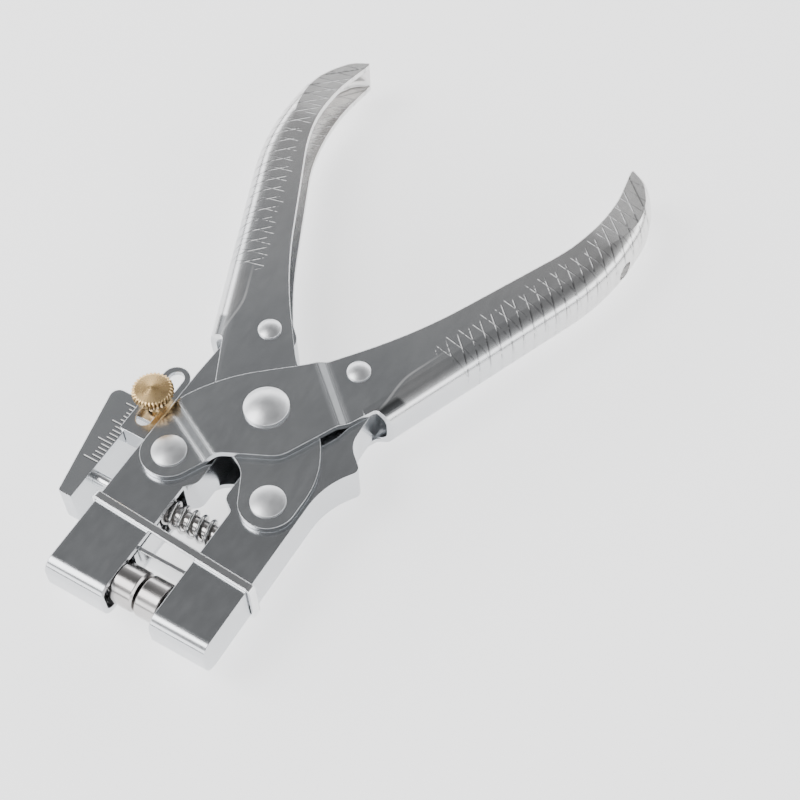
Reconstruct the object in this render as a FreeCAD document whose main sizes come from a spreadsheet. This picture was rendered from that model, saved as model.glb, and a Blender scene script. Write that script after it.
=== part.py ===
import FreeCAD, Part
import math
import os
from FreeCAD import Placement, Rotation, Vector

# Parallel-jaw eyelet pliers. Millimetres.
# While modelling, the centre pivot is the zero point: +X runs to the grips, +Y to the left jaw
# and +Z up. At the end every piece is moved so that the zero point is the middle of the
# underside of the whole tool's box. What is drawn for the left side becomes the right side by
# half a turn about X, because the tool is made of pairs of equal pressings.

SIZES = {
    # stack of plates, measured up from the middle plane
    "jaw_half": 4.8,            # half of the height of a jaw
    "jaw_sheet": 1.2,           # sheet of the jaw pressings
    "handle_sheet": 1.45,       # sheet of the handle pressings
    "slip": 0.05,               # running gap between plates that slide on each other
    "bore_slip": 0.05,          # radial gap of a rivet in the plate that turns on it
    "loop_slip": 0.12,          # radial gap of the centre rivet in the left handle
    "guide_slip": 0.15,         # gap each side of a guide rivet in its slot
    # jaws
    "nose_reach": 52.4,         # centre pivot to the front of the jaws
    "nose_round": 3.0,          # rounding of the nose, seen from the side
    "mouth_left": 5.5,          # middle line to the inner edge of the left jaw
    "mouth_right": 6.3,         # middle line to the inner edge of the right jaw
    "jaw_outer": 19.3,          # middle line to the outer wall of a jaw
    "heel_inner": 3.4,          # middle line to the inner edge of a jaw's heel
    "jaw_pin_x": 18.3,          # centre pivot to the jaw rivets, forwards
    "jaw_pin_y": 12.3,          # centre pivot to the jaw rivets, sideways
    "guide_pin_y": 11.4,        # centre pivot to the guide rivets, sideways
    "guide_travel": 3.9,        # what a guide rivet slides in its slot
    "tail_past": 3.2,           # slot to the end of a jaw's tail
    "tail_beside": 5.6,         # guide rivet to the outer side of the tail
    "tail_inside": 6.4,         # guide rivet to the inner side of the tail
    "pivot_clear": 4.2,         # room between the centre rivet and the jaws
    # rivets
    "jaw_rivet_radius": 2.0,
    "jaw_rivet_head": 3.74,
    "guide_rivet_radius": 1.6,
    "guide_rivet_head": 2.6,
    "pivot_radius": 2.4,
    "pivot_head": 4.9,
    "head_rise": 1.0,           # domed height of the small heads
    "pivot_head_rise": 2.0,
    # handles
    "grip_reach": 101.8,        # centre pivot to the tip corner of a grip
    "grip_spread": 46.9,        # middle line to the outermost point of an open grip
    "grip_fold": 5.0,           # rounding of the fold along the outside of a grip
    "lobe_radius": 6.2,         # front lobe of a handle round its jaw rivet
    "web_start": 12.0,          # where the outer web of a grip starts
    "joggle_front": 14.3,       # centre pivot to the front step of the raised plate
    "joggle_rear": 12.6,        # centre pivot to the rear step of the raised plate
    "joggle_run": 2.6,          # length of each step
    "joggle_bend": 3.0,         # bend radius of each step
    "front_step_turn": 27.0,    # degrees that the front step stands off the middle line
    "rear_step_turn": 42.0,     # degrees that the rear step stands off the middle line
    "tip_half": 3.9,            # half of the height of a grip at its tip
    "hang_hole": 2.3,           # radius of the hole through the web near the tip
    # dies
    "die_x": 45.7,              # centre pivot to the axis of the dies
    "sleeve_radius": 4.5,
    "sleeve_length": 5.2,
    "sleeve_wall": 1.35,
    "sleeve_front": 2.6,        # thickness of a sleeve's front, which slides on the core
    "sleeve_wire": 0.5,         # wire of the springs inside the sleeves
    "wire_slip": 0.125,         # gap each side of that wire
    "die_gap": 0.5,             # between the faces of the open dies
    "die_stroke": 2.9,          # what each sleeve slides back
    "die_spare": 0.5,           # room left behind a sleeve that has slid back
    "core_back": 3.2,           # middle line to the face of a core
    "pilot_radius": 1.0,
    "seat_slip": 0.1,           # gap round a sleeve in the jaw's round seat
    # return spring and rod
    "rod_x": 27.6,
    "rod_radius": 2.0,
    "rod_tip": 10.0,            # middle line to the rod's free end
    "seat_left": 9.5,           # middle line to the spring's seat in the left jaw
    "seat_right": 7.0,          # middle line to the spring's seat in the right jaw
    "seat_thick": 4.0,
    "seat_ahead": 3.6,          # rod to the front of the seats
    "seat_behind": 4.2,         # rod to the back of the seats
    "spring_radius": 2.65,      # mean radius of the return spring
    "spring_wire": 0.9,
    # jaw band
    "band_x": 35.0,
    "band_width": 1.8,
    "band_hook": 3.0,           # what the band's ends reach under the jaws
    "band_sheet": 0.8,
    "band_slip": 0.35,
    "band_skew": 3.4,           # degrees
    # gauge
    "fence_x": 39.5,            # centre pivot to the front face of the fence
    "fence_sheet": 0.9,
    "fence_past": 7.0,          # middle line to the fence's far end
    "fence_low": 2.2,           # middle plane down to the fence's lower edge
    "neck_sheet": 0.6,          # what passes between the left jaw's inner face and its plate
    "neck_slip": 0.05,
    "carrier_in": 3.2,          # outer wall of the jaw to the fence's carrier
    "fence_rod_x": 28.5,
    "fence_rod_z": -0.4,
    "fence_rod_radius": 1.5,
    "gauge_sheet": 1.2,
    "gauge_inner": 24.9,        # middle line to the gauge's scale edge
    "gauge_front": 36.4,        # centre pivot to the gauge's front
    "gauge_back": 9.4,
    "gauge_depth": 9.6,         # height of the gauge body
    "gauge_narrow": 3.2,        # width of the gauge body at its front
    "gauge_wide": 8.6,          # width of the gauge body at its back
    "tongue_half": 4.0,         # half of the width of the tongue under the bracket
    "tongue_reach": 4.3,
    "gauge_forward": 1.5,       # what the gauge slides forwards
    "gauge_rearward": 4.8,      # what the gauge slides backwards
    "slot_half": 1.75,          # half of the width of the bracket's slot
    "bracket_front": 18.0,
    "bracket_back": 1.2,
    "bracket_half": 3.15,
    "screw_x": 9.2,
    "screw_radius": 1.35,
    "collar_radius": 2.1,
    "knob_radius": 4.5,
    "knob_thick": 3.1,
    "nut_radius": 2.4,
    "nut_height": 1.9,
}

doc = FreeCAD.newDocument("EyeletPliers")
sheet = doc.addObject("Spreadsheet::Sheet", "Sizes")
for row, (alias, value) in enumerate(SIZES.items(), start=1):
    sheet.set("A%d" % row, alias)
    sheet.set("B%d" % row, str(value))
    sheet.setAlias("B%d" % row, alias)
doc.recompute()

FINISHED = []


def size(alias):
    return float(sheet.get(alias))


# Levels that follow from the stack.
PLATE_LOW = size("jaw_half") + size("slip")
PLATE_TOP = PLATE_LOW + size("handle_sheet")
RAISED_LOW = PLATE_TOP + size("slip")
RAISED_TOP = RAISED_LOW + size("handle_sheet")
BRACKET_LOW = size("jaw_half") - size("slip") - size("gauge_sheet")
GAUGE_TOP = BRACKET_LOW - size("slip")
KNOB_LOW = RAISED_TOP + 2 * size("slip")
BRACKET_Y = size("jaw_outer") + size("bracket_half")
# A core leaves room for the wire and its gaps inside the sleeve.
CORE_RADIUS = (size("sleeve_radius") - size("sleeve_wall") - size("sleeve_wire")
               - 2 * size("wire_slip"))
CARRIER_Y = size("jaw_outer") - size("carrier_in")
FAR = 60                                # reaches past the jaws and the crossing


# ---------------------------------------------------------------- helpers

def rounded(corners):
    """Lines and arcs of a closed outline whose corners are (x, y, radius)."""
    starts, arcs = [], []
    count = len(corners)
    for i, (x, y, radius) in enumerate(corners):
        here = Vector(x, y, 0)
        to_last = (Vector(*corners[i - 1][:2], 0) - here).normalize()
        to_next = (Vector(*corners[(i + 1) % count][:2], 0) - here).normalize()
        if radius == 0:
            starts.append((here, here))
            arcs.append(None)
            continue
        half = to_last.getAngle(to_next) / 2
        reach = radius / math.tan(half)
        middle = here + (to_last + to_next).normalize() * (radius / math.sin(half) - radius)
        first, last = here + to_last * reach, here + to_next * reach
        starts.append((first, last))
        arcs.append(Part.Arc(first, middle, last))
    edges = []
    for i in range(count):
        if arcs[i] is not None:
            edges.append(arcs[i])
        leave, arrive = starts[i][1], starts[(i + 1) % count][0]
        if (arrive - leave).Length > 1e-4:
            edges.append(Part.LineSegment(leave, arrive))
    return edges


def rectangle(x_low, x_high, y_low, y_high):
    corners = [(x_low, y_low, 0), (x_high, y_low, 0), (x_high, y_high, 0), (x_low, y_high, 0)]
    return rounded(corners)


def circle(x, y, radius):
    return [Part.Circle(Vector(x, y, 0), Vector(0, 0, 1), radius)]


def long_hole(x_low, x_high, y, half):
    return rounded([(x_low - half, y - half, half), (x_high + half, y - half, half),
                    (x_high + half, y + half, half), (x_low - half, y + half, half)])


def bind(item, path, formula):
    item.setExpression(path, formula)


def prism(name, outline, low, high):
    """A plate with a plan outline between two levels, each a formula of the sheet's cells."""
    plan = doc.addObject("Sketcher::SketchObject", name + "_plan")
    plan.addGeometry(outline, False)
    bind(plan, "Placement.Base.z", low)
    solid = doc.addObject("Part::Extrusion", name)
    solid.Base = plan
    solid.DirMode = "Custom"
    solid.Dir = Vector(0, 0, 1)
    solid.Solid = True
    bind(solid, "LengthFwd", "(%s) - (%s)" % (high, low))
    doc.recompute()
    return solid


def cut(name, base, tools):
    tool = tools[0]
    if len(tools) > 1:
        tool = doc.addObject("Part::MultiFuse", name + "_tools")
        tool.Shapes = tools
    result = doc.addObject("Part::Cut", name)
    result.Base = base
    result.Tool = tool
    return result


def fuse(name, pieces):
    result = doc.addObject("Part::MultiFuse", name)
    result.Shapes = pieces
    result.Refine = True
    return result


def common(name, first, second):
    result = doc.addObject("Part::Common", name)
    result.Base = first
    result.Tool = second
    return result


def box(name, x, y, z):
    """A block; x, y and z are pairs of formulas, low and high."""
    block = doc.addObject("Part::Box", name)
    for axis, side, (low, high) in (("x", "Length", x), ("y", "Width", y), ("z", "Height", z)):
        bind(block, "Placement.Base." + axis, low)
        bind(block, side, "(%s) - (%s)" % (high, low))
    return block


def rod(name, radius, low, high, x, y, along="z"):
    """A cylinder from low to high along z or y, through the point x, y (or x and height y)."""
    bar = doc.addObject("Part::Cylinder", name)
    bind(bar, "Radius", radius)
    bind(bar, "Height", "(%s) - (%s)" % (high, low))
    bind(bar, "Placement.Base.x", x)
    if along == "z":
        bind(bar, "Placement.Base.y", y)
        bind(bar, "Placement.Base.z", low)
    else:
        bar.Placement.Rotation = Rotation(Vector(1, 0, 0), -90)
        bind(bar, "Placement.Base.y", low)
        bind(bar, "Placement.Base.z", y)
    return bar


def turned(name, profile, at, along="z"):
    """A body turned about its own axis from the edges of a half profile (radius, height)."""
    body = doc.addObject("PartDesign::Body", name)
    plane = [f for f in body.Origin.OriginFeatures if f.Role == "XZ_Plane"][0]
    half = body.newObject("Sketcher::SketchObject", name + "_half")
    half.AttachmentSupport = [(plane, "")]
    half.MapMode = "FlatFace"
    half.addGeometry(profile, False)
    turn = body.newObject("PartDesign::Revolution", name + "_turn")
    turn.Profile = half
    turn.ReferenceAxis = (half, ["V_Axis"])
    turn.Angle = 360
    doc.recompute()
    rotation = Rotation() if along == "z" else Rotation(Vector(1, 0, 0), -90)
    body.Placement = Placement(Vector(*at), rotation)
    return body


def padded(name, pads, pockets):
    """A body of plates and pockets, each (outline, low, high) with formulas for the levels."""
    body = doc.addObject("PartDesign::Body", name)
    plane = [f for f in body.Origin.OriginFeatures if f.Role == "XY_Plane"][0]
    steps = [("PartDesign::Pad", step) for step in pads]
    steps += [("PartDesign::Pocket", step) for step in pockets]
    for number, (kind, (outline, low, high)) in enumerate(steps):
        plan = body.newObject("Sketcher::SketchObject", "%s_plan%d" % (name, number))
        plan.AttachmentSupport = [(plane, "")]
        plan.MapMode = "FlatFace"
        bind(plan, "AttachmentOffset.Base.z", low)
        plan.addGeometry(outline, False)
        feature = body.newObject(kind, "%s_step%d" % (name, number))
        feature.Profile = plan
        feature.Reversed = kind == "PartDesign::Pocket"
        bind(feature, "Length", "(%s) - (%s)" % (high, low))
        doc.recompute()
    return body


def round_edges(name, base, radius, chosen):
    """A fillet on the edges of base for which chosen(edge) holds."""
    doc.recompute()
    numbers = [i for i, edge in enumerate(base.Shape.Edges, start=1) if chosen(edge)]
    result = doc.addObject("Part::Fillet", name)
    result.Base = base
    result.Edges = [(i, radius, radius) for i in numbers]
    return result


def level(edge, height):
    box_of = edge.BoundBox
    return abs(box_of.ZMin - height) < 1e-3 and abs(box_of.ZMax - height) < 1e-3


def finish(piece, label, flip=False):
    piece.Label = label
    FINISHED.append((piece, flip))
    return piece


# The same levels as formulas of the sheet's cells.
CAVITY_LOW, CAVITY_HIGH = "-(Sizes.jaw_half - Sizes.jaw_sheet)", "Sizes.jaw_half - Sizes.jaw_sheet"
PLATE_LOW_F = "Sizes.jaw_half + Sizes.slip"
PLATE_TOP_F = PLATE_LOW_F + " + Sizes.handle_sheet"
RAISED_LOW_F = PLATE_TOP_F + " + Sizes.slip"
RAISED_TOP_F = RAISED_LOW_F + " + Sizes.handle_sheet"
BRACKET_LOW_F = "Sizes.jaw_half - Sizes.slip - Sizes.gauge_sheet"
GAUGE_TOP_F = BRACKET_LOW_F + " - Sizes.slip"
CORE_RADIUS_F = ("Sizes.sleeve_radius - Sizes.sleeve_wall - Sizes.sleeve_wire"
                 " - 2 * Sizes.wire_slip")
NECK_LOW_F = CAVITY_HIGH + " - Sizes.neck_slip - Sizes.neck_sheet"
SLEEVE_ROOM_F = "Sizes.die_gap / 2 + Sizes.sleeve_length + Sizes.die_stroke + Sizes.die_spare"


# ---------------------------------------------------------------- jaws

def jaw_outline(side, inset=0.0):
    """Plan of a left jaw, or of a right one turned over; inset draws its hollow."""
    front = -size("nose_reach") + inset
    outer = size("jaw_outer") - inset
    mouth = size("mouth_" + side)
    pin = size("jaw_pin_x")
    guide = size("guide_pin_y")
    end = pin + size("guide_travel") + size("tail_past") - inset
    below = guide - size("tail_inside")
    heel = size("heel_inner")
    clear = size("pivot_radius") + size("pivot_clear")
    if side == "right":
        flare = [(-8.8, outer, 18), (-2.0 - inset / 2, outer + 4.8, 1.6), (2.6, outer - 0.3, 6)]
    else:
        flare = [(2.0, outer, 6)]
    tail = [(pin - 3, outer - 0.6, 4), (end, guide + size("tail_beside") - inset, 4 - inset),
            (end - 0.2, guide + 0.6, 2), (end - 1.2, guide - 1.5, 3.5)]
    heel_side = [(pin + 1.2, below, 4), (7.5, below, 1.5), (6.0, clear, 1.5),
                 (-3.5, clear, 1.5), (-6.0, heel, 2.0), (-21.2, heel, 2.4), (-23.2, mouth, 1.2)]
    return rounded([(front, mouth, 0), (front, outer, 0)] + flare + tail + heel_side)


def jaw_shell(side):
    name = side + "_jaw_shell"
    outer = prism(name + "_blank", jaw_outline(side), "-Sizes.jaw_half", "Sizes.jaw_half")
    nose = -size("nose_reach")
    tall = 2 * size("jaw_half")
    blank = round_edges(name + "_rounded", outer, size("nose_round"),
                        lambda e: abs(e.BoundBox.XMin - nose) < 1e-3
                        and abs(e.BoundBox.XMax - nose) < 1e-3 and e.Length > tall)
    sheet_now = size("jaw_sheet")
    front, back = nose + sheet_now, -size("rod_x") + size("seat_behind")
    outer_wall = size("jaw_outer") - sheet_now
    hollow = prism(name + "_hollow", rectangle(front, back, 0, outer_wall), CAVITY_LOW, CAVITY_HIGH)
    hollow = round_edges(name + "_hollow_round", hollow, size("nose_round") - sheet_now,
                         lambda e: abs(e.BoundBox.XMax - front) < 1e-3 and e.Length > tall)
    tail_room = prism(name + "_tail_room", rectangle(-9.5, FAR, 0, FAR), CAVITY_LOW, CAVITY_HIGH)
    tail_plan = prism(name + "_tail_plan", jaw_outline(side, sheet_now), CAVITY_LOW, CAVITY_HIGH)
    tail = common(name + "_tail", tail_room, tail_plan)
    seat = rod(name + "_die_seat", "Sizes.sleeve_radius + Sizes.seat_slip", "0", SLEEVE_ROOM_F,
               "-Sizes.die_x", "0", along="y")
    slot = prism(name + "_guide_slot",
                 long_hole(size("jaw_pin_x"), size("jaw_pin_x") + size("guide_travel"),
                           size("guide_pin_y"), size("guide_rivet_radius") + size("guide_slip")),
                 "-9", "9")
    bore = rod(name + "_bore", "Sizes.jaw_rivet_radius", "-9", "9",
               "-Sizes.jaw_pin_x", "Sizes.jaw_pin_y")
    tools = [hollow, tail, seat, slot, bore]
    if side == "left":
        tools.extend(fence_openings(name))
    finish(cut(name + "_pressing", blank, tools), name, flip=side == "right")


def fence_openings(name):
    """What the left jaw leaves open for the fence's rod and carrier as the gauge slides."""
    room = "(Sizes.fence_rod_radius + 0.1)"
    middle = "-Sizes.fence_rod_x"
    inner = "Sizes.jaw_outer - Sizes.carrier_in - Sizes.jaw_sheet"
    window = box(name + "_window", (middle + " - Sizes.gauge_forward - " + room,
                                    middle + " + Sizes.gauge_rearward + " + room),
                 (inner, "Sizes.jaw_outer + 1"),
                 ("Sizes.fence_rod_z - " + room, "Sizes.fence_rod_z + " + room))
    pocket = box(name + "_pocket", (middle, middle + " + Sizes.gauge_rearward + " + room),
                 (inner, "Sizes.jaw_outer - Sizes.jaw_sheet"),
                 (CAVITY_LOW, CAVITY_HIGH))
    return [window, pocket]


def die_block(side):
    name = side + "_die_block"
    block = box(name + "_blank",
                ("-Sizes.nose_reach + Sizes.nose_round", "-Sizes.die_x + Sizes.sleeve_radius + Sizes.seat_slip"),
                (SLEEVE_ROOM_F, "Sizes.jaw_outer - Sizes.jaw_sheet"), (CAVITY_LOW, CAVITY_HIGH))
    bore = rod(name + "_bore", CORE_RADIUS_F, "1", "Sizes.jaw_outer", "-Sizes.die_x", "0", along="y")
    finish(cut(name + "_bored", block, [bore]), name, flip=side == "right")


def die_core(side):
    """Fixed core of a die: the left one carries the pilot, the right one takes it in."""
    face = size("core_back")
    back = size("jaw_outer") - size("jaw_sheet")
    radius = CORE_RADIUS
    pilot = size("pilot_radius")
    if side == "left":
        tip = -size("die_gap")
        profile = [(0, tip, 0), (pilot * 0.6, tip, 0), (pilot, tip + 0.9, 0), (pilot, face, 0),
                   (radius, face, 0.25), (radius, back, 0), (0, back, 0)]
        name = "punch_core"
    else:
        hole = pilot + 0.3
        bottom = 2 * face + size("die_gap") + 1.0
        profile = [(hole, face, 0), (radius, face, 0.25), (radius, back, 0), (0, back, 0),
                   (0, bottom, 0), (hole, bottom, 0)]
        name = "anvil_core"
    finish(turned(name + "_body", rounded(profile), (-size("die_x"), 0, 0), along="y"), name,
           flip=side == "right")


def die_sleeve(side):
    name = side + "_die_sleeve"
    face = size("die_gap") / 2
    back = face + size("sleeve_length")
    shoulder = face + size("sleeve_front")
    outer = size("sleeve_radius")
    inner = outer - size("sleeve_wall")
    bore = CORE_RADIUS + size("seat_slip")
    profile = [(bore, face, 0.2), (outer - 0.5, face, 0.1), (outer, face + 0.5, 0.2),
               (outer, back, 0.15), (inner, back, 0), (inner, shoulder, 0), (bore, shoulder, 0)]
    finish(turned(name + "_body", rounded(profile), (-size("die_x"), 0, 0), along="y"), name,
           flip=side == "right")


def coil(name, label, mean, wire, first, last, turns, x, flip=False, make=Part.makeHelix):
    """A round-wire spring along Y between the levels first and last of its wire's surface."""
    height = last - first - wire
    helix = make(height / turns, height, mean)
    start = helix.Edges[0].Vertexes[0].Point
    ring = Part.Wire([Part.Circle(start, Vector(0, 1, 0), wire / 2).toShape()])
    spring = doc.addObject("Part::Feature", name)
    spring.Shape = Part.Wire(helix.Edges).makePipeShell([ring], True, True)
    spring.Placement = Placement(Vector(x, first + wire / 2, 0), Rotation(Vector(1, 0, 0), -90))
    return finish(spring, label, flip)


def sleeve_spring(side):
    first = size("die_gap") / 2 + size("sleeve_front")
    last = first - size("sleeve_front") + size("sleeve_length") + size("die_stroke")
    last += size("die_spare")
    wire = size("sleeve_wire")
    mean = CORE_RADIUS + size("wire_slip") + wire / 2
    coil(side + "_sleeve_spring_wire", side + "_sleeve_spring", mean, wire, first, last, 5,
         -size("die_x"), side == "right", Part.makeLongHelix)


def liner():
    """Inner face of the left jaw: it closes the jaw between die and spring, below the fence."""
    front = -size("die_x") + size("sleeve_radius") + 4 * size("seat_slip")
    back = -size("rod_x") - size("seat_ahead") - 0.8
    mouth = size("mouth_left")
    plan = rectangle(front, back, mouth, mouth + size("jaw_sheet"))
    finish(padded("left_jaw_liner_body", [(plan, CAVITY_LOW, NECK_LOW_F + " - Sizes.neck_slip")], []),
           "left_jaw_liner")


def spring_seat(side):
    name = side + "_spring_seat"
    low = "Sizes.seat_" + side
    block = box(name + "_blank",
                ("-Sizes.rod_x - Sizes.seat_ahead", "-Sizes.rod_x + Sizes.seat_behind"),
                (low, low + " + Sizes.seat_thick"), (CAVITY_LOW, CAVITY_HIGH))
    radius = "Sizes.rod_radius" if side == "left" else "Sizes.rod_radius + Sizes.bore_slip"
    bore = rod(name + "_bore", radius, "1", "20", "-Sizes.rod_x", "0", along="y")
    finish(cut(name + "_bored", block, [bore]), name, flip=side == "right")


def guide_rod():
    """Rod of the return spring, held in the left seat and sliding in the right one."""
    radius, tip = size("rod_radius"), -size("rod_tip")
    back = size("seat_left") + size("seat_thick")
    profile = [(0, tip, 0), (radius, tip, 0.5), (radius, back, 0), (0, back, 0)]
    finish(turned("guide_rod_body", rounded(profile), (-size("rod_x"), 0, 0), along="y"),
           "guide_rod")


def return_spring():
    coil("return_spring_wire", "return_spring", size("spring_radius"), size("spring_wire"),
         -size("seat_right"), size("seat_left"), 8, -size("rod_x"))


def jaw_band():
    """Strap over both jaws, its ends bent down and hooked under them to stop their opening."""
    wall = size("band_sheet")
    y_in, z_in = size("jaw_outer") + size("band_slip"), size("jaw_half") + 0.1
    y_out, z_out = y_in + wall, z_in + wall
    hook = y_in - size("band_hook")
    outline = rounded([(-hook, -z_out, 0), (-y_out, -z_out, 1.2), (-y_out, z_out, 1.2),
                       (y_out, z_out, 1.2), (y_out, -z_out, 1.2), (hook, -z_out, 0),
                       (hook, -z_in, 0), (y_in, -z_in, 0.3), (y_in, z_in, 0.3),
                       (-y_in, z_in, 0.3), (-y_in, -z_in, 0.3), (-hook, -z_in, 0)])
    body = doc.addObject("PartDesign::Body", "jaw_band_body")
    plan = body.newObject("Sketcher::SketchObject", "jaw_band_side")
    plane = [f for f in body.Origin.OriginFeatures if f.Role == "YZ_Plane"][0]
    plan.AttachmentSupport = [(plane, "")]
    plan.MapMode = "FlatFace"
    plan.addGeometry(outline, False)
    pad = body.newObject("PartDesign::Pad", "jaw_band_pad")
    pad.Profile = plan
    pad.Midplane = True
    bind(pad, "Length", "Sizes.band_width")
    doc.recompute()
    body.Placement = Placement(Vector(-size("band_x"), 0, 0),
                               Rotation(Vector(0, 0, 1), -size("band_skew")))
    finish(body, "jaw_band")


# ---------------------------------------------------------------- rivets

def domed_profile(radius, head, rise, under):
    """Half profile of a rivet with a domed head at each end, symmetric about zero."""
    rim, top = under + 0.3 * rise, under + rise
    ball = (head ** 2 + (top - rim) ** 2) / (2 * (top - rim))
    halfway = top - ball + math.sqrt(ball ** 2 - (head / 2) ** 2)
    edges = []
    for way in (1, -1):
        points = [(0, top), (head, rim), (head, under), (radius, under)]
        points = [Vector(x, way * y, 0) for x, y in points]
        edges.append(Part.Arc(points[0], Vector(head / 2, way * halfway, 0), points[1]))
        edges += [Part.LineSegment(points[1], points[2]), Part.LineSegment(points[2], points[3])]
    edges.append(Part.LineSegment(Vector(radius, under, 0), Vector(radius, -under, 0)))
    edges.append(Part.LineSegment(Vector(0, -top, 0), Vector(0, top, 0)))
    return edges


def rivets():
    pin_x, over_slip = size("jaw_pin_x"), PLATE_TOP + size("slip")
    kinds = (("jaw_rivet", -pin_x, size("jaw_pin_y"), over_slip),
             ("guide_rivet", pin_x, size("guide_pin_y"), PLATE_TOP))
    for side in ("left", "right"):
        for kind, x, y, under in kinds:
            profile = domed_profile(size(kind + "_radius"), size(kind + "_head"),
                                    size("head_rise"), under)
            name = "%s_%s" % (side, kind)
            finish(turned(name + "_body", profile, (x, y, 0)), name, flip=side == "right")
    profile = domed_profile(size("pivot_radius"), size("pivot_head"), size("pivot_head_rise"),
                            RAISED_TOP + size("slip"))
    finish(turned("pivot_rivet_body", profile, (0, 0, 0)), "pivot_rivet")


# ---------------------------------------------------------------- handles

def grip_station(share):
    """A place along the grip: 0 where the web starts and 1 at the tip corner."""
    return size("web_start") + (size("grip_reach") - size("web_start")) * share


def handle_outline():
    """Plan of the right handle, which reaches from the left jaw rivet to the right grip."""
    pin_x, pin_y = -size("jaw_pin_x"), size("jaw_pin_y")
    lobe = size("lobe_radius")
    start = size("web_start")
    spread = size("grip_spread")
    crossing = [(pin_x - lobe, pin_y + lobe, lobe), (-8.7, pin_y + lobe, 20), (2.4, 12.1, 40),
                (14.2, -2.0, 15)]
    inner = [(grip_station(0.236), 30.0 - spread, 120), (grip_station(0.707), 9.4 - spread, 45),
             (grip_station(0.869), 9.4 - spread, 30)]
    tip = [(grip_station(1.0), 11.4 - spread, 1.2)]
    outer = [(grip_station(0.969), 6.2 - spread, 8), (grip_station(0.871), -spread, 22),
             (grip_station(0.631), -spread, 60)]
    front = [(start, 22.5 - spread, 1.0), (start, 27.3 - spread, 1.5), (-8.7, -9.0, 6),
             (-14.4, 3.2, 6), (pin_x - lobe, pin_y - 0.62 * lobe, lobe)]
    return rounded(crossing + inner + tip + outer + front)


def fold_outline(inset):
    """The outer side of a grip moved in by inset, closed far away on the inner side."""
    spread = size("grip_spread")
    start = size("web_start")
    slope = 24.4 / (grip_station(0.631) - start) * (spread - 22.5) / 24.4
    lead = 60.0
    shift = inset * math.hypot(1, slope)
    return rounded([
        (start - lead, 22.5 - spread + lead * slope + shift, 0),
        (grip_station(0.631) + inset * 0.2, inset - spread, 60 - inset),
        (grip_station(0.871) - inset * 0.3, inset - spread, 22 - inset),
        (grip_station(0.969) - inset * 0.9, 6.2 - spread + inset * 0.5, 8 - inset),
        (grip_station(1.0) - inset * 1.1, 11.4 - spread, 0),
        (grip_station(1.25) - inset * 1.1, 60 - spread, 0),
        (grip_station(1.25), 70, 0), (start - lead, 70, 0)])


def step_sheet(name, angle, step, length):
    """The raised plate's step, drawn from the side and stretched across the handle."""
    run, bend = size("joggle_run"), size("joggle_bend")
    low, top = PLATE_LOW, PLATE_TOP
    lift_low, lift_top = RAISED_LOW, RAISED_TOP
    behind = -4                         # past the pivot, so that the two sheets overlap
    corners = [(behind, lift_low, 0), (step, lift_low, bend), (step + run, low, bend),
               (length, low, 0), (length, top, 0), (step + run + 0.3, top, bend),
               (step + 0.3, lift_top, bend), (behind, lift_top, 0)]
    side_view = doc.addObject("Sketcher::SketchObject", name + "_side")
    side_view.addGeometry(rounded(corners), False)
    around = Rotation(Vector(0, 0, 1), angle)
    upright = around.multiply(Rotation(Vector(1, 0, 0), 90))
    side_view.Placement = Placement(around.multVec(Vector(0, FAR, 0)), upright)
    solid = doc.addObject("Part::Extrusion", name)
    solid.Base = side_view
    solid.DirMode = "Normal"
    solid.Solid = True
    solid.LengthFwd = 2 * FAR
    return solid


def tip_taper(name, inset):
    """What a grip may fill seen from the side: it gets lower from its last third to the tip."""
    half, tip = PLATE_TOP - inset, size("tip_half") - inset
    bend, end = grip_station(0.72), grip_station(1.02)
    corners = [(-FAR, -half, 0), (bend, -half, 40), (end, -tip, 0), (end, tip, 0), (bend, half, 40),
               (-FAR, half, 0)]
    side_view = doc.addObject("Sketcher::SketchObject", name + "_side")
    side_view.addGeometry(rounded(corners), False)
    side_view.Placement = Placement(Vector(0, FAR, 0), Rotation(Vector(1, 0, 0), 90))
    solid = doc.addObject("Part::Extrusion", name)
    solid.Base = side_view
    solid.DirMode = "Normal"
    solid.Solid = True
    solid.LengthFwd = 2 * FAR
    return solid


def folded_block(name, inset, low, high, radius):
    """The space inside or outside of a grip's folded sheet, with its rounded folds."""
    block = prism(name + "_block", fold_outline(inset), low, high)
    doc.recompute()
    top = block.Shape.BoundBox.ZMax

    def on_fold(edge):
        middle = edge.valueAt((edge.FirstParameter + edge.LastParameter) / 2)
        flat = level(edge, top) or level(edge, -top)
        return flat and middle.y < 60 - size("grip_spread") - 20 and middle.x < grip_station(1.1)

    return round_edges(name, block, radius, on_fold)


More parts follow.
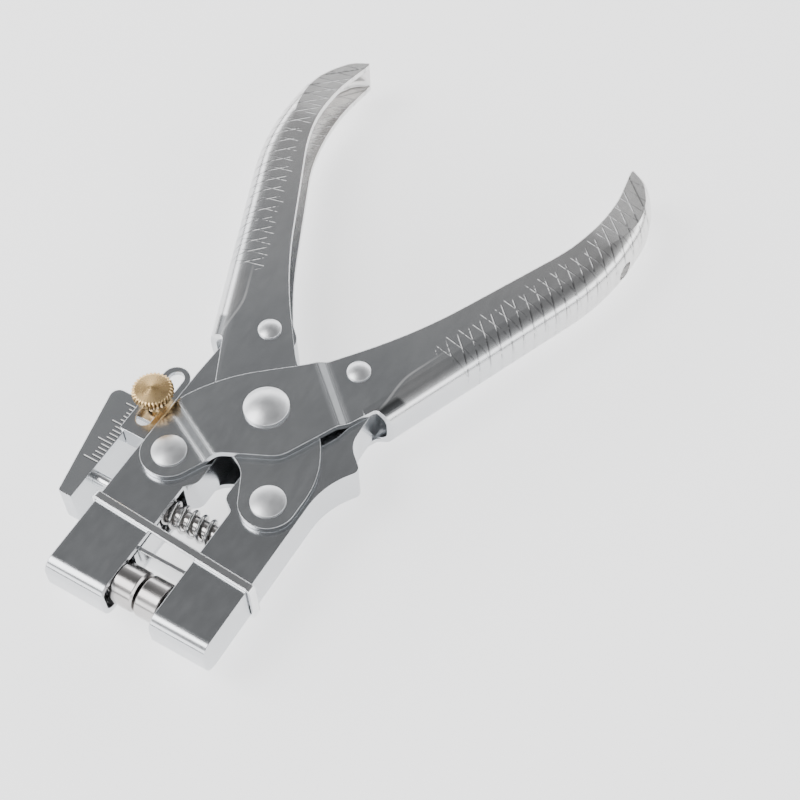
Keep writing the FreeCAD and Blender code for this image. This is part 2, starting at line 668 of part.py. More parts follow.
def handle(side):
    """One handle: a flat plate below, a raised plate above and a folded grip, open inwards."""
    name = side + "_handle"
    blank = prism(name + "_blank", handle_outline(), "-(%s)" % PLATE_TOP_F, PLATE_TOP_F)
    fold = folded_block(name + "_fold", 0.0, "-(%s)" % PLATE_TOP_F, PLATE_TOP_F,
                        size("grip_fold"))
    folded = common(name + "_folded", common(name + "_lowered", blank, fold),
                    tip_taper(name + "_taper", 0.0))
    inside = folded_block(name + "_inside", size("handle_sheet"), "-(%s)" % PLATE_LOW_F,
                          PLATE_LOW_F, size("grip_fold") - size("handle_sheet"))
    inside = common(name + "_inside_lowered", inside,
                    tip_taper(name + "_inside_taper", size("handle_sheet")))
    ahead = box(name + "_ahead", (str(-FAR), "Sizes.web_start"), (str(-FAR), str(FAR)),
                ("-(%s)" % PLATE_LOW_F, PLATE_LOW_F))
    hollow = fuse(name + "_hollow", [inside, ahead])
    rear_angle = -size("rear_step_turn")
    front_angle = 180 - size("front_step_turn")
    rear_end = size("joggle_rear") + size("joggle_run") + 4
    steps = [step_sheet(name + "_rear_step", rear_angle, size("joggle_rear"), rear_end),
             step_sheet(name + "_front_step", front_angle, size("joggle_front"), FAR)]
    outline_high = prism(name + "_high", handle_outline(), PLATE_LOW_F, RAISED_TOP_F)
    stepped = common(name + "_stepped", fuse(name + "_steps", steps), outline_high)
    # The flat upper plate gives way to the stepped one as far as the rear step ends.
    clear_away = doc.addObject("Part::Box", name + "_clear")
    bind(clear_away, "Height", "20")
    clear_away.Length = 2 * FAR + rear_end
    clear_away.Width = 2 * FAR
    turn = Rotation(Vector(0, 0, 1), rear_angle)
    corner = turn.multVec(Vector(-2 * FAR, -FAR, PLATE_LOW - 0.5))
    clear_away.Placement = Placement(corner, turn)
    channel = cut(name + "_channel", folded, [hollow, clear_away])
    joined = fuse(name + "_joined", [channel, stepped])
    pivot = "Sizes.pivot_radius" + ("" if side == "right" else " + Sizes.loop_slip")
    hole = doc.addObject("Part::Cylinder", name + "_hang_hole")
    bind(hole, "Radius", "Sizes.hang_hole")
    hole.Height = 8
    hole.Placement = Placement(Vector(grip_station(0.71), -size("grip_spread") - 4, 0),
                               Rotation(Vector(1, 0, 0), -90))
    tools = [rod(name + "_pivot_bore", pivot, "-12", "12", "0", "0"),
             rod(name + "_jaw_bore", "Sizes.jaw_rivet_radius + Sizes.bore_slip", "-12", "12",
                 "-Sizes.jaw_pin_x", "Sizes.jaw_pin_y"),
             rod(name + "_guide_bore", "Sizes.guide_rivet_radius", "-12", "12",
                 "Sizes.jaw_pin_x", "-Sizes.guide_pin_y"), hole]
    finish(cut(name + "_bored", joined, tools), name, flip=side == "left")


# ---------------------------------------------------------------- gauge

def gauge_bracket():
    """Slotted plate on the left jaw's outer wall, bent down at the front to point at the scale."""
    y = BRACKET_Y
    half = size("bracket_half")
    front, back = -size("bracket_front"), size("bracket_back")
    plate = rounded([(front, y - half, 0), (back, y - half, half * 0.98),
                     (back, y + half, half * 0.98), (front, y + half, 0.4)])
    flange = rectangle(front, front + size("gauge_sheet"), y - half, y + half - 0.9)
    foot = rectangle(front, front + 7, y - half, y - half + 0.6)
    slot = long_hole(front + 4.4, back - 1.2 - size("slot_half"), y, size("slot_half"))
    body = padded("gauge_bracket_body",
                  [(plate, BRACKET_LOW_F, "Sizes.jaw_half - Sizes.slip"),
                   (flange, "-1", BRACKET_LOW_F), (foot, "-1", BRACKET_LOW_F)],
                  [(slot, "-1.5", "Sizes.jaw_half")])
    finish(body, "gauge_bracket")


def gauge_outline(inset):
    """Plan of the gauge body: straight along the scale, slanting outwards to the rear."""
    inner = size("gauge_inner")
    narrow, wide = inner + size("gauge_narrow") - inset, inner + size("gauge_wide") - inset
    front, back = -size("gauge_front") + inset, -size("gauge_back") - inset
    if inset:
        return rounded([(front, inner + inset, 0), (front, narrow, 0), (back, wide, 1.0),
                        (back, inner + inset, 0)])
    return rounded([(front, inner, 0.3), (front, narrow, 0.8), (back, wide, 2.0),
                    (back, inner, 0.3)])


def gauge_body():
    inner = size("gauge_inner")
    hole_x = -size("screw_x")
    half, end = size("tongue_half"), inner - size("tongue_reach")
    tongue = rounded([(hole_x - half, inner + 2, 0), (hole_x - half, end, 1.0),
                      (hole_x + half, end, 1.0), (hole_x + half, inner + 2, 1.0)])
    top, sheet_low = GAUGE_TOP_F, GAUGE_TOP_F + " - Sizes.gauge_sheet"
    bottom = GAUGE_TOP_F + " - Sizes.gauge_depth"
    body = padded("gauge_body_blank",
                  [(gauge_outline(0), bottom, top), (tongue, sheet_low, top)],
                  [(gauge_outline(size("gauge_sheet")), bottom + " - 1", sheet_low),
                   (circle(hole_x, BRACKET_Y, size("screw_radius") + size("bore_slip")),
                    sheet_low + " - 1",
                    top + " + 1")])
    finish(body, "gauge_body")


def gauge_fence():
    """Fence across the mouth, its neck and carrier in the left jaw and its rod to the gauge."""
    x = -size("fence_x")
    thick = size("fence_sheet")
    high = CAVITY_HIGH + " - Sizes.neck_slip"
    low = "-Sizes.fence_low"
    past = -size("fence_past")
    blade = rectangle(x, x + thick, past, size("mouth_left") - 0.3)
    neck = rectangle(x, x + thick, past, CARRIER_Y)
    end = -size("fence_rod_x") + size("fence_rod_radius")
    carrier = rectangle(x, end, CARRIER_Y - thick, CARRIER_Y)
    plates = padded("gauge_fence_plates", [(neck, NECK_LOW_F, high), (blade, low, NECK_LOW_F),
                                           (carrier, low, high)], [])
    reach = rod("gauge_fence_rod", "Sizes.fence_rod_radius",
                "Sizes.jaw_outer - Sizes.carrier_in - Sizes.fence_sheet / 2",
                "Sizes.gauge_inner", "-Sizes.fence_rod_x", "Sizes.fence_rod_z", along="y")
    finish(fuse("gauge_fence_whole", [plates, reach]), "gauge_fence")


def thumb_screw():
    y = BRACKET_Y
    low, top = KNOB_LOW, KNOB_LOW + size("knob_thick")
    knob = size("knob_radius")
    shank = size("screw_radius")
    collar = size("collar_radius")
    end = GAUGE_TOP - size("gauge_sheet") - size("nut_height") - 0.3
    profile = [(0, end, 0), (shank, end, 0.2), (shank, size("jaw_half"), 0),
               (collar, size("jaw_half"), 0), (collar, low, 0), (knob - 0.3, low, 0.2),
               (knob, low + 0.4, 0.3), (knob, top - 0.7, 0.3), (knob - 0.8, top, 0.3), (0, top, 0)]
    finish(turned("thumb_screw_body", rounded(profile), (-size("screw_x"), y, 0)), "thumb_screw")


def clamp_nut():
    top = GAUGE_TOP_F + " - Sizes.gauge_sheet"
    nut = doc.addObject("Part::Prism", "clamp_nut_blank")
    nut.Polygon = 6
    bind(nut, "Circumradius", "Sizes.nut_radius")
    bind(nut, "Height", "Sizes.nut_height")
    bind(nut, "Placement.Base.x", "-Sizes.screw_x")
    bind(nut, "Placement.Base.y", "Sizes.jaw_outer + Sizes.bracket_half")
    bind(nut, "Placement.Base.z", top + " - Sizes.nut_height")
    bore = rod("clamp_nut_bore", "Sizes.screw_radius + Sizes.bore_slip", "-5", "9", "-Sizes.screw_x",
               "Sizes.jaw_outer + Sizes.bracket_half")
    finish(cut("clamp_nut_bored", nut, [bore]), "clamp_nut")


# ---------------------------------------------------------------- the whole tool

for jaw_side in ("left", "right"):
    jaw_shell(jaw_side)
    die_block(jaw_side)
    die_core(jaw_side)
    die_sleeve(jaw_side)
    sleeve_spring(jaw_side)
    spring_seat(jaw_side)
    handle(jaw_side)
liner()
guide_rod()
return_spring()
jaw_band()
rivets()
gauge_bracket()
gauge_body()
gauge_fence()
thumb_screw()
clamp_nut()
doc.recompute()

# The zero point goes to the middle of the underside of the tool's box.
HALF_TURN = Placement(Vector(0, 0, 0), Rotation(Vector(1, 0, 0), 180))
for piece, flip in FINISHED:
    if flip:
        piece.Placement = HALF_TURN.multiply(piece.Placement)
doc.recompute()
whole = FreeCAD.BoundBox()
for piece, flip in FINISHED:
    whole.add(piece.Shape.optimalBoundingBox(False, False))
shift = Vector(-(whole.XMin + whole.XMax) / 2, -(whole.YMin + whole.YMax) / 2, -whole.ZMin)
for piece, flip in FINISHED:
    piece.Placement = Placement(shift, Rotation()).multiply(piece.Placement)
doc.recompute()

for item in doc.Objects:
    if "Invalid" in item.State or "Error" in item.State:
        raise RuntimeError("failed: %s %s" % (item.Name, item.State))
for piece, flip in FINISHED:
    if piece.Shape.isNull() or not piece.Shape.isValid() or not piece.Shape.Solids:
        raise RuntimeError("bad shape: " + piece.Label)

os.makedirs("parts", exist_ok=True)
for piece, flip in FINISHED:
    piece.Shape.exportStep("parts/%s.step" % piece.Label)
print("pieces", len(FINISHED), "pivot at", tuple(round(c, 4) for c in shift))
print("size", round(whole.XLength, 3), round(whole.YLength, 3), round(whole.ZLength, 3))
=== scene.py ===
import math

import bmesh
import bpy
from mathutils import Matrix, Vector


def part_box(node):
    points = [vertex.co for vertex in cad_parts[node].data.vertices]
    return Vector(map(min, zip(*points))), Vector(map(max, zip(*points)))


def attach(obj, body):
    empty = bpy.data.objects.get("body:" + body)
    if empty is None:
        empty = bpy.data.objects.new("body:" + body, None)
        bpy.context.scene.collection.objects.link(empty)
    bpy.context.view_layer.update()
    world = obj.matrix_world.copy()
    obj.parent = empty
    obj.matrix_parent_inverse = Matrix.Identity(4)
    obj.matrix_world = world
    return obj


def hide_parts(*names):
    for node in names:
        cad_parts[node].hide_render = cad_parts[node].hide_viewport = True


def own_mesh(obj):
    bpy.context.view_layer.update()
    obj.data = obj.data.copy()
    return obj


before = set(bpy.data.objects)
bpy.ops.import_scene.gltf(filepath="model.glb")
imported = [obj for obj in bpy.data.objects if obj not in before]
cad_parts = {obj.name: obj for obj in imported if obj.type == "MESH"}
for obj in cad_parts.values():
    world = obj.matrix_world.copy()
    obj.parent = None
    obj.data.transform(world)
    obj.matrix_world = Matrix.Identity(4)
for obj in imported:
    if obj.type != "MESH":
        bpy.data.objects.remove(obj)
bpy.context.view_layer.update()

# Parallel-jaw eyelet pliers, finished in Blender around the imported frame. Metres.
# PIVOT is the centre rivet's axis at the middle plane of the tool: every place below is
# given from it in millimetres, +X to the grips, +Y to the left jaw and +Z up.

MM = 0.001


def middle(node):
    low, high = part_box(node)
    return (Vector(low) + Vector(high)) / 2


def reach(node, axis):
    """Lowest and highest place of a CAD node along an axis, in millimetres from the pivot."""
    low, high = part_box(node)
    return (low[axis] - PIVOT[axis]) / MM, (high[axis] - PIVOT[axis]) / MM


PIVOT = middle("pivot_rivet")
SCALE_EDGE = 24.9           # middle line to the gauge's inner wall


def place(x, y, z):
    return PIVOT + Vector((x, y, z)) * MM


# ---------------------------------------------------------------- camera, floor and light

CAMERA_AT = (-143.6, -126.6, 287.1)
CAMERA_RIGHT = (0.5118, -0.8587, -0.0260)
CAMERA_UP = (0.7183, 0.4111, 0.5614)
CAMERA_LENS = 72.5
FLOOR_GLOW = 1.3            # the light table under the tool


def make_camera():
    data = bpy.data.cameras.new("camera")
    data.lens = CAMERA_LENS
    data.sensor_width = 36
    data.clip_start = 0.01
    camera = bpy.data.objects.new("camera", data)
    bpy.context.scene.collection.objects.link(camera)
    right = Vector(CAMERA_RIGHT).normalized()
    up = Vector(CAMERA_UP)
    up = (up - right * up.dot(right)).normalized()
    back = right.cross(up)
    turn = Matrix((right, up, back)).transposed().to_4x4()
    camera.matrix_world = Matrix.Translation(place(*CAMERA_AT)) @ turn
    bpy.context.scene.camera = camera


def make_floor():
    bpy.ops.mesh.primitive_plane_add(size=6.0, location=(0, 0, -0.00005))
    floor = bpy.context.object
    floor.name = "floor"
    shade = bpy.data.materials.new("floor_paper")
    shade.use_nodes = True
    surface = shade.node_tree.nodes["Principled BSDF"]
    surface.inputs["Base Color"].default_value = (0.95, 0.95, 0.955, 1)
    surface.inputs["Roughness"].default_value = 0.9
    surface.inputs["Specular IOR Level"].default_value = 0.1
    surface.inputs["Emission Color"].default_value = (1, 1, 1, 1)
    surface.inputs["Emission Strength"].default_value = FLOOR_GLOW
    floor.data.materials.append(shade)


def make_area(name, at, size, power, target=(0, 0, 0)):
    data = bpy.data.lights.new(name, "AREA")
    data.shape = "RECTANGLE"
    data.size, data.size_y = size
    data.energy = power
    lamp = bpy.data.objects.new(name, data)
    bpy.context.scene.collection.objects.link(lamp)
    lamp.location = at
    lamp.rotation_euler = (Vector(target) - Vector(at)).to_track_quat("-Z", "Y").to_euler()


def make_world():
    """A white room with a dark skirting and a grey ceiling: level faces read grey, walls white."""
    world = bpy.data.worlds.new("studio")
    bpy.context.scene.world = world
    world.use_nodes = True
    nodes, links = world.node_tree.nodes, world.node_tree.links
    nodes.clear()
    direction = nodes.new("ShaderNodeTexCoord")
    split = nodes.new("ShaderNodeSeparateXYZ")
    ramp = nodes.new("ShaderNodeValToRGB")
    background = nodes.new("ShaderNodeBackground")
    output = nodes.new("ShaderNodeOutputWorld")
    links.new(direction.outputs["Generated"], split.inputs[0])
    links.new(split.outputs["Z"], ramp.inputs[0])
    links.new(ramp.outputs[0], background.inputs[0])
    links.new(background.outputs[0], output.inputs[0])
    stops = ((0.0, 0.4), (0.02, 0.01), (0.12, 0.01), (0.16, 1.0), (0.38, 1.0), (0.52, 0.14),
             (0.90, 0.05), (1.0, 0.08))
    ramp.color_ramp.interpolation = "EASE"
    while len(ramp.color_ramp.elements) < len(stops):
        ramp.color_ramp.elements.new(0.5)
    for element, (spot, value) in zip(ramp.color_ramp.elements, stops):
        element.position = spot
        element.color = (value, value * 1.005, value * 1.015, 1)
    background.inputs["Strength"].default_value = 4.0


# ---------------------------------------------------------------- materials

class Shader:
    """A material's node tree with short names for what the recipes below need."""

    def __init__(self, name):
        self.material = bpy.data.materials.new(name)
        self.material.use_nodes = True
        self.nodes = self.material.node_tree.nodes
        self.links = self.material.node_tree.links
        self.surface = self.nodes["Principled BSDF"]
        self.coordinates = self.nodes.new("ShaderNodeTexCoord").outputs["Object"]

    def put(self, value, socket):
        if hasattr(value, "links"):
            self.links.new(value, socket)
        else:
            socket.default_value = value

    def math(self, kind, first, second=0.0, third=0.0):
        node = self.nodes.new("ShaderNodeMath")
        node.operation = kind
        for value, socket in zip((first, second, third), node.inputs):
            self.put(value, socket)
        return node.outputs[0]

    def ranged(self, value, low, high, to_low=0.0, to_high=1.0):
        node = self.nodes.new("ShaderNodeMapRange")
        node.interpolation_type = "SMOOTHSTEP"
        self.put(value, node.inputs["Value"])
        for socket, number in (("From Min", low), ("From Max", high), ("To Min", to_low),
                               ("To Max", to_high)):
            node.inputs[socket].default_value = number
        return node.outputs[0]

    def noise(self, scale, stretch=(1, 1, 1), turn=0.0, detail=3.0):
        shift = self.nodes.new("ShaderNodeMapping")
        self.links.new(self.coordinates, shift.inputs[0])
        shift.inputs["Rotation"].default_value = (0, 0, turn)
        shift.inputs["Scale"].default_value = stretch
        node = self.nodes.new("ShaderNodeTexNoise")
        self.links.new(shift.outputs[0], node.inputs["Vector"])
        node.inputs["Scale"].default_value = scale
        node.inputs["Detail"].default_value = detail
        return node.outputs["Fac"]

    def blend(self, share, first, second):
        node = self.nodes.new("ShaderNodeMix")
        node.data_type = "RGBA"
        self.put(share, node.inputs["Factor"])
        for value, socket in ((first, node.inputs[6]), (second, node.inputs[7])):
            self.put(value if hasattr(value, "links") else (*value, 1), socket)
        return node.outputs[2]

    def along(self, direction, start=(0, 0, 0)):
        """How far a point lies along a direction from a start, in millimetres."""
        node = self.nodes.new("ShaderNodeVectorMath")
        node.operation = "DOT_PRODUCT"
        self.links.new(self.coordinates, node.inputs[0])
        way = Vector(direction)
        node.inputs[1].default_value = way / MM
        return self.math("SUBTRACT", node.outputs["Value"], way.dot(place(*start)) / MM)

    def finish(self, color, rough, height, strength, depth, edge):
        """Joins the colour, roughness, relief and softened edges to the surface."""
        self.put(color, self.surface.inputs["Base Color"])
        self.put(rough, self.surface.inputs["Roughness"])
        relief = self.nodes.new("ShaderNodeBump")
        relief.inputs["Strength"].default_value = strength
        relief.inputs["Distance"].default_value = depth * MM
        self.links.new(height, relief.inputs["Height"])
        if edge:
            rounding = self.nodes.new("ShaderNodeBevel")
            rounding.samples = 8
            rounding.inputs["Radius"].default_value = edge * MM
            self.links.new(rounding.outputs[0], relief.inputs["Normal"])
        self.links.new(relief.outputs[0], self.surface.inputs["Normal"])
        return self


def metal(name, bright, dark, rough, grain=(1, 1, 1), turn=0.0, edge=0.25, depth=0.01):
    """Plated or turned metal with faint clouds, fine scratches and softened edges."""
    shader = Shader(name)
    shader.surface.inputs["Metallic"].default_value = 1.0
    cloud = shader.noise(70)
    fine = shader.noise(700, grain, turn, detail=2)
    color = shader.blend(shader.ranged(cloud, 0.3, 0.7), dark, bright)
    mixed = shader.math("MULTIPLY_ADD", fine, 0.6, shader.math("MULTIPLY", cloud, 0.4))
    shader.finish(color, shader.ranged(mixed, 0.3, 0.7, rough[0], rough[1]), fine, 0.03, depth,
                  edge)
    return shader


def grip_rim(shader, out):
    """Distance in from a grip's outer side, whose rim is a chain of straight lines."""
    rim = ((12.0, 24.4), (68.6, 46.9), (90.2, 46.9), (99.0, 40.7), (101.8, 35.5))
    distance = None
    for (x0, y0), (x1, y1) in zip(rim, rim[1:]):
        way = Vector((x1 - x0, y1 - y0)).normalized()
        inward = shader.along((way.y, -out * way.x, 0), (x0, out * y0, 0))
        distance = inward if distance is None else shader.math("MINIMUM", distance, inward)
    return distance


def cuts_along(shader, way, pitch, width, shift=0.0):
    """Parallel cuts a pitch apart, counted along a direction: 1 on a cut and 0 between."""
    turned = shader.math("DIVIDE", shader.along(way), pitch)
    offset = shader.math("SUBTRACT", shader.math("FRACT", turned), 0.5)
    side = shader.math("SUBTRACT", shader.math("MULTIPLY", offset, pitch), shift)
    return shader.ranged(shader.math("ABSOLUTE", side), width, width * 1.8, 1, 0)


def engraving(shader, out):
    """Crossing cuts on the outer half of a grip, painted as a highlight on the flat and as shade
    on the fold, with a painted shadow beside each cut.
    """
    distance = grip_rim(shader, out)
    steep_pitch, slant_pitch, width = 2.83, 3.16, 0.085
    steep, slanted = math.radians(45), math.radians(78)
    steep_way = (math.sin(steep), out * math.cos(steep), 0)
    slant_way = (math.sin(slanted), out * math.cos(slanted), 0)
    wave = shader.math("MULTIPLY", shader.math("SUBTRACT", shader.noise(300), 0.5), 3.0)
    away = shader.math("ADD", distance, wave)
    start = shader.ranged(shader.math("ADD", shader.along((1, 0, 0)), wave), 30.0, 31.5)
    broken = shader.ranged(shader.noise(1100), 0.36, 0.5)
    area = shader.math("MULTIPLY", start, broken)
    long_cuts = shader.math("MULTIPLY", cuts_along(shader, steep_way, steep_pitch, width),
                            shader.ranged(away, 8.6, 9.2, 1, 0))
    short_cuts = shader.math("MULTIPLY", cuts_along(shader, slant_way, slant_pitch, width),
                             shader.ranged(away, 9.4, 10.0, 1, 0))
    short_cuts = shader.math("MULTIPLY", short_cuts, shader.ranged(away, 5.5, 8.0, 0.35, 1))
    flat = shader.ranged(distance, 4.0, 5.4)
    every = shader.math("MULTIPLY", shader.math("MAXIMUM", long_cuts, short_cuts), area)
    bright = shader.math("MULTIPLY", every, flat)
    # painted shadow beside each cut, offset from it
    shade = shader.math("MAXIMUM", cuts_along(shader, steep_way, steep_pitch, width, 2.4 * width),
                        cuts_along(shader, slant_way, slant_pitch, width, 2.4 * width))
    shade = shader.math("MULTIPLY", shader.math("MULTIPLY", shade, area),
                        shader.ranged(away, 8.6, 9.2, 0.4, 0))
    fold_cut_painted_shade = shader.math("MULTIPLY", every, shader.math("SUBTRACT", 0.75,
                                                          shader.math("MULTIPLY", flat, 0.75)))
    side = shader.ranged(shader.math("ABSOLUTE", shader.along((0, 0, 1))), 0.0, 5.0, 0.25, 1)
    return bright, shader.math("MULTIPLY", shader.math("MAXIMUM", shade, fold_cut_painted_shade), side)


def crease_painted_highlight(shader, out):
    """Where the wide fold begins behind the web's start: a painted highlight along its rim line
    and a painted sheen over its inside.
    """
    x = shader.along((1, 0, 0))
    begin = shader.ranged(x, 10.0, 24.0, 3.8, 7.1)
    inside = shader.math("SUBTRACT", begin, grip_rim(shader, out))
    near = shader.math("MULTIPLY", shader.ranged(x, 22.0, 36.0, 1, 0),
                       shader.ranged(shader.along((0, 0, 1)), 3.0, 4.0))
    line = shader.ranged(shader.math("ABSOLUTE", inside), 0.08, 0.4, 1, 0)
    return (shader.math("MULTIPLY", line, near),
            shader.math("MULTIPLY", shader.ranged(inside, 0.0, 1.0), near))


def step_faces_painted_shade(shader):
    """The slanting faces of the raised plate's two steps, which get painted shade."""
    facing = shader.nodes.new("ShaderNodeSeparateXYZ")
    normal = shader.nodes.new("ShaderNodeNewGeometry").outputs["True Normal"]
    shader.links.new(normal, facing.inputs[0])
    slope = shader.math("ABSOLUTE", facing.outputs["Z"])
    slanting = shader.math("MULTIPLY", shader.ranged(slope, 0.6, 0.8),
                           shader.ranged(slope, 0.9, 0.995, 1, 0))
    return shader.math("MULTIPLY", slanting, shader.ranged(shader.along((1, 0, 0)), 16.5, 17.5,
                                                           1, 0))


def handle_metal(name, out):
    """Satin chrome of a handle, painted paler towards the tip as a sheen, with a painted highlight
    and sheen on its fold, painted shade on its step faces and its engraved grip.
    """
    shader = Shader(name)
    cloud = shader.noise(60)
    grain = shader.noise(900, (0.3, 1, 1), out * math.radians(24), detail=2)
    # painted sheen: the colour grows paler towards the tip
    tip = shader.ranged(shader.along((1, 0, 0)), 15.0, 95.0)
    near = shader.blend(shader.ranged(cloud, 0.3, 0.7), (0.60, 0.615, 0.635), (0.62, 0.635, 0.65))
    color = shader.blend(tip, near, (0.78, 0.77, 0.76))
    # painted highlight along the fold's rim line and painted sheen over its inside
    rim_painted_highlight, fold_painted_sheen = crease_painted_highlight(shader, out)
    color = shader.blend(shader.math("MULTIPLY", fold_painted_sheen, 0.5), color, (0.80, 0.79, 0.785))
    color = shader.blend(shader.math("MULTIPLY", rim_painted_highlight, 0.7), color, (1.0, 1.0, 1.0))
    # painted shade on the slanting step faces
    color = shader.blend(step_faces_painted_shade(shader), color, (0.17, 0.175, 0.18))
    # the real cuts, coloured with painted shade on the fold and a painted highlight on the flat
    bright, dark = engraving(shader, out)
    color = shader.blend(dark, color, (0.12, 0.12, 0.125))
    color = shader.blend(bright, color, (0.95, 0.95, 0.95))
    matt = shader.math("MAXIMUM", shader.math("MULTIPLY", bright, 0.7),
                       shader.math("MULTIPLY", rim_painted_highlight, 0.12))
    shader.put(shader.math("SUBTRACT", 1.0, matt), shader.surface.inputs["Metallic"])
    rough = shader.ranged(shader.math("MULTIPLY_ADD", grain, 0.6,
                                      shader.math("MULTIPLY", cloud, 0.4)), 0.3, 0.7, 0.2, 0.25)
    shader.finish(color, rough, grain, 0.02, 0.01, 0.3)
    return shader


def gauge_metal():
    """Bright plated sheet with the engraved scale along its inner edge; its ticks are painted
    white as a highlight with a painted shadow beside each.
    """
    shader = Shader("engraved_gauge")
    cloud = shader.noise(80)
    grain = shader.noise(600, (0.2, 1, 1), detail=2)
    first, last = -26.7, -11.7
    x = shader.along((1, 0, 0), (first - 0.5, 0, 0))
    offset = shader.math("SUBTRACT", shader.math("FRACT", x), 0.5)
    line = shader.ranged(shader.math("ABSOLUTE", offset), 0.10, 0.17, 1, 0)
    shade = shader.ranged(shader.math("ABSOLUTE", shader.math("ADD", offset, 0.22)), 0.08, 0.15,
                          1, 0)
    fifth = shader.math("FRACT", shader.math("DIVIDE", x, 5.0))
    long_tick = shader.math("LESS_THAN", fifth, 0.2)
    length = shader.math("MULTIPLY_ADD", long_tick, 1.5, 2.3)
    y = shader.along((0, 1, 0), (0, SCALE_EDGE, 0))
    inside = shader.math("MULTIPLY", shader.math("LESS_THAN", y, length),
                         shader.math("GREATER_THAN", y, 0.15))
    in_row = shader.math("MULTIPLY", shader.math("GREATER_THAN", x, 0.0),
                         shader.math("LESS_THAN", x, last - first + 1.0))
    top = reach("gauge_body", 2)[1]
    on_top = shader.math("GREATER_THAN", shader.along((0, 0, 1)), top - 0.3)
    area = shader.math("MULTIPLY", shader.math("MULTIPLY", inside, in_row), on_top)
    line = shader.math("MULTIPLY", line, area)
    shade = shader.math("MULTIPLY", shader.math("MULTIPLY", shade, area), 0.75)
    color = shader.blend(shader.ranged(cloud, 0.3, 0.7), (0.58, 0.595, 0.615), (0.63, 0.645, 0.66))
    # painted shadow beside each tick, then the tick painted white as a highlight
    color = shader.blend(shade, color, (0.08, 0.08, 0.085))
    color = shader.blend(line, color, (0.95, 0.95, 0.95))
    shader.put(shader.math("SUBTRACT", 1.0, shader.math("MULTIPLY", line, 0.85)),
               shader.surface.inputs["Metallic"])
    shader.finish(color, 0.24, grain, 0.1, 0.01, 0.25)
    return shader


def knob_metal():
    """Satin brass, with painted shade in the hollows between the knob's teeth."""
    shader = metal("satin_brass", (0.90, 0.645, 0.335), (0.81, 0.55, 0.26), (0.24, 0.33), edge=0)
    axis = middle("thumb_screw")
    low, high = reach("thumb_screw", 0)
    radius, top = (high - low) / 2, reach("thumb_screw", 2)[1]
    away = [shader.along(way, tuple((axis - PIVOT) / MM)) for way in ((1, 0, 0), (0, 1, 0))]
    squares = [shader.math("MULTIPLY", side, side) for side in away]
    distance = shader.math("SQRT", shader.math("ADD", squares[0], squares[1]))
    teeth_hollow_shade = shader.math("MULTIPLY", shader.ranged(distance, radius - 0.8, radius - 0.6),
                         shader.ranged(distance, radius - 0.45, radius - 0.2, 1, 0))
    below = shader.ranged(shader.along((0, 0, 1)), top - 0.95, top - 0.8, 1, 0)
    plain = shader.surface.inputs["Base Color"].links[0].from_socket
    # painted shade in the hollows between the teeth, below the top
    dark = shader.math("MULTIPLY", shader.math("MULTIPLY", teeth_hollow_shade, below), 0.85)
    shader.put(shader.blend(dark, plain, (0.16, 0.09, 0.04)), shader.surface.inputs["Base Color"])
    return shader


def paint(names, shader):
    for name in names:
        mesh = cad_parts[name].data
        mesh.materials.clear()
        mesh.materials.append(shader.material)


def make_materials():
    """Every CAD node gets its finish; the ones that new pieces need are handed back."""
    plate = metal("satin_chrome", (0.63, 0.645, 0.665), (0.61, 0.625, 0.645), (0.17, 0.22),
                  (0.4, 1, 1), math.radians(90))
    band = metal("band_plate", (0.90, 0.91, 0.92), (0.84, 0.85, 0.86), (0.10, 0.18),
                 (1, 0.3, 1), edge=0.45)
    bright = metal("bright_sheet", (0.80, 0.81, 0.82), (0.74, 0.75, 0.76), (0.16, 0.26))
    rivet = metal("polished_rivet", (0.86, 0.87, 0.885), (0.80, 0.81, 0.825), (0.34, 0.42),
                  edge=0.2)
    die = metal("turned_steel", (0.56, 0.54, 0.53), (0.42, 0.405, 0.40), (0.16, 0.26),
                (1, 0.1, 1), edge=0.12)
    dark = metal("die_holder", (0.36, 0.355, 0.35), (0.26, 0.26, 0.255), (0.3, 0.45))
    spring = metal("spring_wire", (0.50, 0.495, 0.49), (0.38, 0.38, 0.38), (0.14, 0.22), edge=0)
    brass = knob_metal()
    paint(("left_jaw_shell", "right_jaw_shell", "gauge_bracket"), plate)
    paint(("jaw_band",), band)
    paint(("gauge_fence", "left_jaw_liner"), bright)
    paint(("left_jaw_rivet", "right_jaw_rivet", "left_guide_rivet", "right_guide_rivet",
           "pivot_rivet"), rivet)
    paint(("left_die_sleeve", "right_die_sleeve", "punch_core", "anvil_core", "guide_rod",
           "clamp_nut"), die)
    paint(("left_die_block", "right_die_block", "left_spring_seat", "right_spring_seat"), dark)
    paint(("return_spring", "left_sleeve_spring", "right_sleeve_spring"), spring)
    paint(("thumb_screw",), brass)
    paint(("left_handle",), handle_metal("left_grip_chrome", 1))
    paint(("right_handle",), handle_metal("right_grip_chrome", -1))
    paint(("gauge_body",), gauge_metal())
    return {"spring": spring, "brass": brass}


# ---------------------------------------------------------------- pieces made here

def add_mesh(name, rings, shader, closed_ends=True):
    """A skin over rings of points, each ring with the same number of points."""
    mesh = bmesh.new()
    rows = [[mesh.verts.new(point) for point in ring] for ring in rings]
    count = len(rings[0])
    for low, high in zip(rows, rows[1:]):
        for i in range(count):
            j = (i + 1) % count
            mesh.faces.new((low[i], low[j], high[j], high[i]))
    if closed_ends:
        mesh.faces.new(list(reversed(rows[0])))
        mesh.faces.new(rows[-1])
    bmesh.ops.recalc_face_normals(mesh, faces=mesh.faces)
    data = bpy.data.meshes.new(name)
    mesh.to_mesh(data)
    mesh.free()
    thing = bpy.data.objects.new(name, data)
    bpy.context.scene.collection.objects.link(thing)
    data.materials.append(shader.material)
    return thing


def shade_smooth(thing, angle):
    for face in thing.data.polygons:
        face.use_smooth = True
    thing.data.set_sharp_from_angle(angle=math.radians(angle))


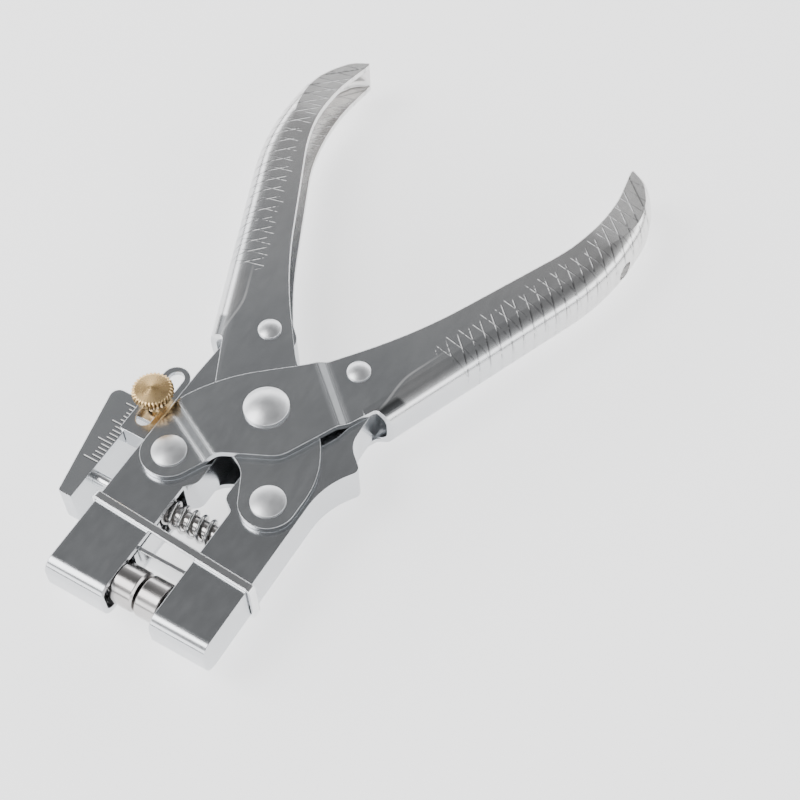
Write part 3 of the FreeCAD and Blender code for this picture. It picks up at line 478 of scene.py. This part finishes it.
def coil(name, node, wire, pitches, shader):
    """A wire spring in place of a CAD one; pitches lists (turns, share of the free length)."""
    low, high = reach(node, 1)
    x = (reach(node, 0)[0] + reach(node, 0)[1]) / 2
    mean = (reach(node, 0)[1] - reach(node, 0)[0]) / 2 - wire / 2
    free = (high - low) - wire * (1 + sum(turns for turns, share in pitches))
    steps, around = 36, 12
    path, angle, y = [], 0.0, high - wire / 2
    for turns, share in pitches:
        advance = wire * turns + free * share
        count = round(turns * steps)
        for step in range(count):
            path.append((angle + 2 * math.pi * turns * step / count, y - advance * step / count))
        angle += 2 * math.pi * turns
        y -= advance
    path.append((angle, y))
    rings = []
    for turned, level in path:
        outward = Vector((math.cos(turned), 0, math.sin(turned)))
        centre = Vector((x, level, 0)) + outward * mean
        ring = []
        for i in range(around):
            spin = 2 * math.pi * i / around
            ring.append(place(*(centre + (outward * math.cos(spin) + Vector((0, 1, 0))
                                          * math.sin(spin)) * wire / 2)))
        rings.append(ring)
    thing = add_mesh(name, rings, shader)
    shade_smooth(thing, 50)
    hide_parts(node)
    return thing


def springs(shader):
    """The three springs, each carried by a jaw."""
    main = coil("return_coil", "return_spring", 0.85, ((2.6, 0.03), (5.4, 0.92), (0.9, 0.05)),
                shader)
    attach(main, "left_jaw")
    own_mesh(main)
    for side, end in (("left", 1), ("right", 0)):
        node = side + "_sleeve_spring"
        small = coil(side + "_sleeve_coil", node, 0.5, ((0.9, 0.03), (2.6, 0.94), (0.9, 0.03)),
                     shader)
        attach(small, side + "_jaw")
        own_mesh(small)


def thumb_screw(shader):
    """Knob with pointed straight knurls and a low cone on top, on its collar and shank."""
    low, top = reach("thumb_screw", 2)
    x = sum(reach("thumb_screw", 0)) / 2
    y = sum(reach("thumb_screw", 1)) / 2
    radius = (reach("thumb_screw", 0)[1] - reach("thumb_screw", 0)[0]) / 2
    teeth, depth, thick = 32, 0.5, 3.1
    bottom = top - thick
    collar = 2.1
    # radius, height, and how far the knurls stand out there
    profile = ((0.02, low, 0), (1.15, low, 0), (1.35, low + 0.2, 0), (1.35, 4.5, 0),
               (collar, 4.5, 0), (collar, bottom, 0), (radius - 1.1, bottom, 0),
               (radius - depth, bottom + 0.35, 0.1), (radius - depth, bottom + 0.75, 1),
               (radius - depth, top - 1.15, 1), (radius - depth, top - 0.95, 0.9),
               (radius - depth - 0.2, top - 0.75, 0.35), (radius - depth - 0.5, top - 0.68, 0),
               (0.6, top - 0.12, 0), (0.2, top - 0.02, 0), (0.02, top, 0))
    rings = []
    for r, z, knurl in profile:
        ring = []
        for i in range(teeth * 4):
            tooth = (0.0, 0.45, 1.0, 0.45)[i % 4]
            turned = 2 * math.pi * i / (teeth * 4)
            grown = r + knurl * depth * tooth
            ring.append(place(x + grown * math.cos(turned), y + grown * math.sin(turned), z))
        rings.append(ring)
    thing = add_mesh("knurled_screw", rings, shader)
    shade_smooth(thing, 28)
    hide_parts("thumb_screw")
    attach(thing, "clamp_screw")


make_camera()
make_floor()
make_world()
make_area("key", (-0.35, 0.45, 0.75), (0.5, 0.5), 5.0)
shaders = make_materials()
springs(shaders["spring"])
thumb_screw(shaders["brass"])
